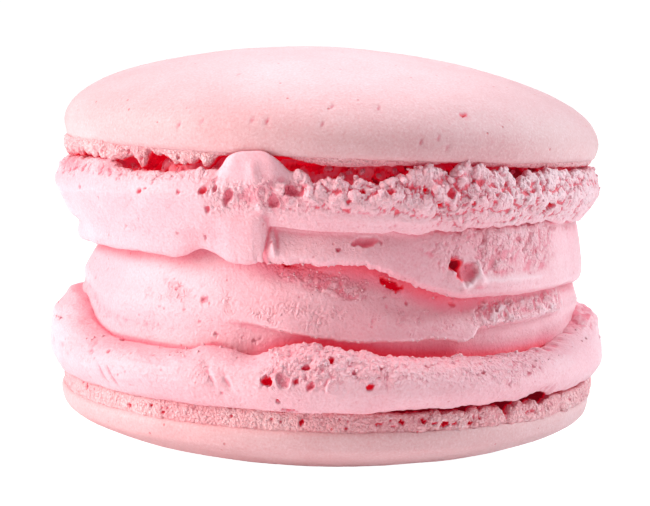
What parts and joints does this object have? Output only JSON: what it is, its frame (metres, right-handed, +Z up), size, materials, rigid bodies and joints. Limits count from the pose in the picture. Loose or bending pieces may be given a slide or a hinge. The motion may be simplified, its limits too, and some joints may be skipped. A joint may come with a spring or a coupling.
{
  "type": "french macaron",
  "caption": "Round filled almond biscuit standing on its lower shell: smooth domed shells with porous feet, and thick squeezed-out layers of whipped cream between them.",
  "frame": {"origin": "middle of the small flat spot under the lower shell, on which the macaron stands", "axes": "+Z up through both shells; -Y is the front, where the top cream layer hangs lowest towards +X; the upper shell leans down towards +X by about 1.5 degrees"},
  "size_m": [0.0496, 0.0496, 0.0363],
  "materials": {
    "almond_shell": "matt baked almond meringue, pale salmon pink with fine pores",
    "pink_cream": "soft satin whipped cream, cool pink, with air bubbles and torn edges"
  },
  "bodies": {
    "root": {"shell_bottom": "almond_shell", "cream_bottom": "pink_cream", "cream_middle": "pink_cream", "cream_top": "pink_cream", "shell_top": "almond_shell"}
  },
  "joints": []
}
